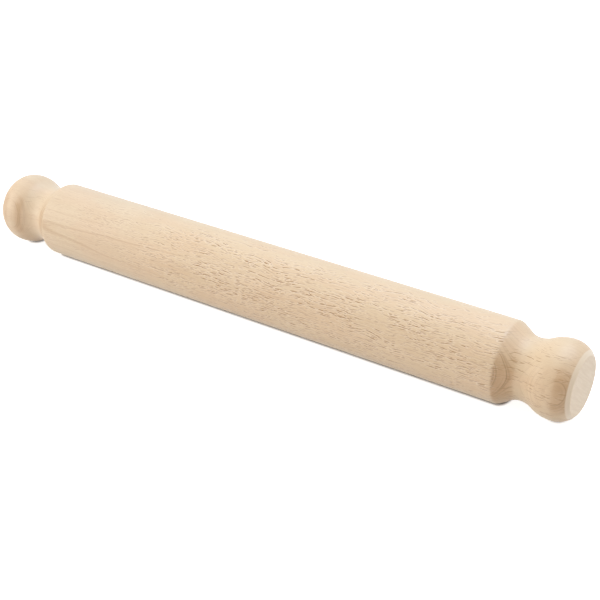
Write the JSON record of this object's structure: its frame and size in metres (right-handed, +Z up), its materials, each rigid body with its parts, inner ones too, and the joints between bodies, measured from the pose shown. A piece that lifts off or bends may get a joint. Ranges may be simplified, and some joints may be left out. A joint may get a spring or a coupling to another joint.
{
  "type": "rolling pin",
  "caption": "Straight round wooden rolling pin with a fixed, turned knob handle at each end.",
  "frame": {"origin": "centre of the pin, on its axis, halfway between the two end faces", "axes": "+X along the pin's axis towards the right handle, +Z up, the pin lying level on a surface"},
  "size_m": [0.35, 0.0404, 0.0404],
  "materials": {
    "barrel_beech": "untreated beech, turned and fine sanded",
    "handle_beech": "untreated beech, turned and fine sanded"
  },
  "bodies": {
    "root": {"barrel": "barrel_beech", "left_handle": "handle_beech", "right_handle": "handle_beech"}
  },
  "joints": []
}
